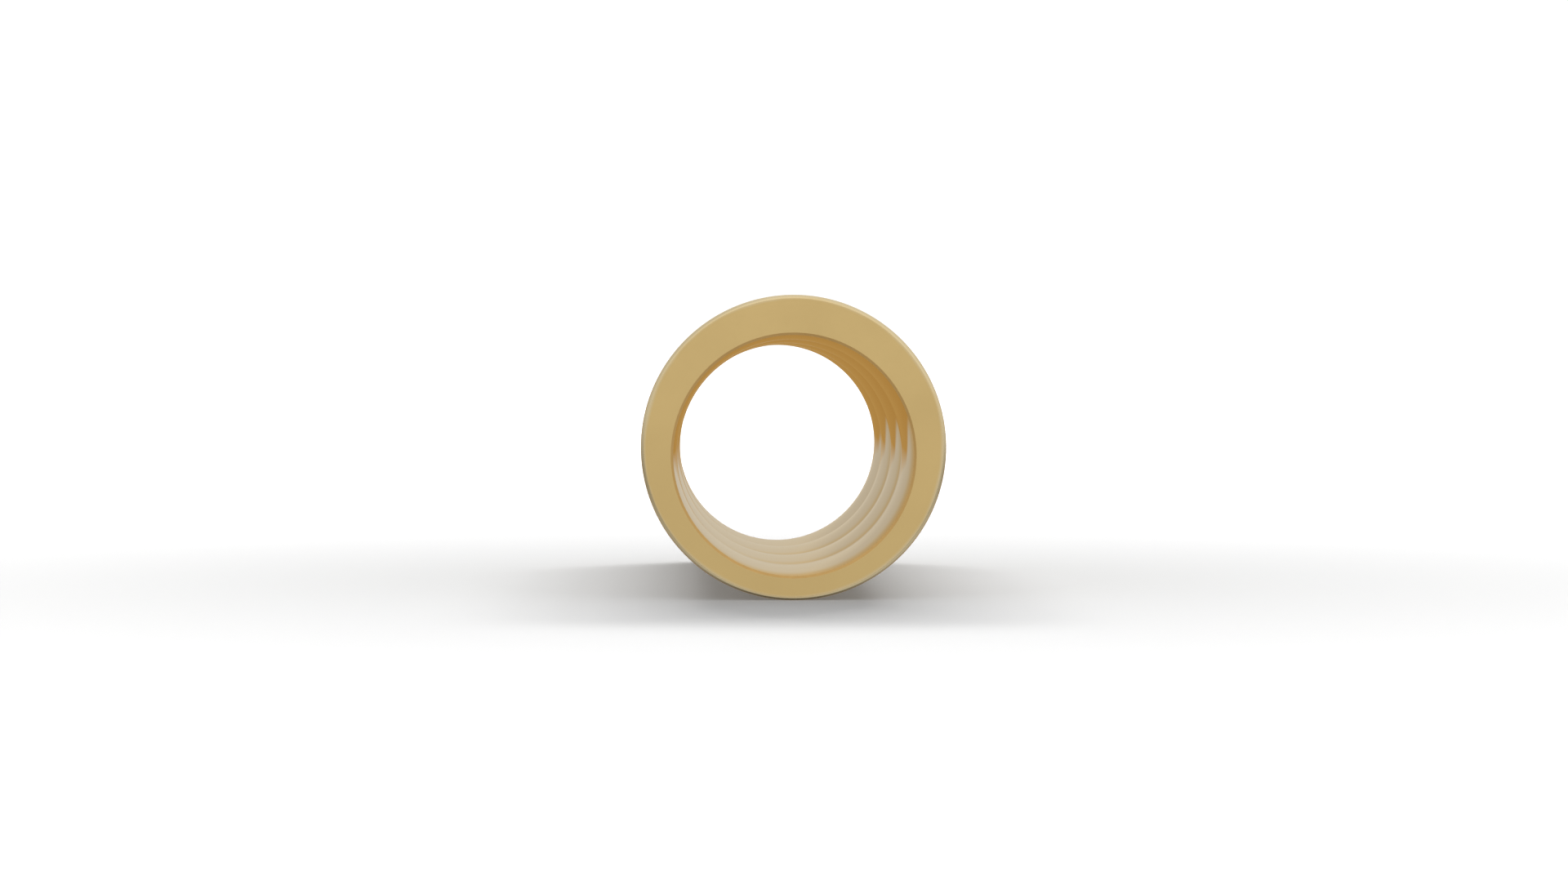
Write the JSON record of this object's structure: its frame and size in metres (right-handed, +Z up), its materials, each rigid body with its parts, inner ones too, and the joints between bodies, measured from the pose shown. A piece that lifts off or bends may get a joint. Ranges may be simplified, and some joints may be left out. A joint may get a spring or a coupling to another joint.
{
  "type": "guitar slide",
  "caption": "Heavy-wall brass tube worn on a finger and slid along guitar strings, with an off-centre bore turned with crowned grip bands.",
  "frame": {"origin": "centre of the outer cylinder, half way along it", "axes": "+Y along the tube from the open end that faces the viewer to the far end, +Z up through the thickest side of the wall, +X to the right"},
  "size_m": [0.025, 0.06, 0.025],
  "materials": {
    "brass": "satin, fine turned"
  },
  "bodies": {
    "root": {"slide_body": "brass"}
  },
  "joints": []
}
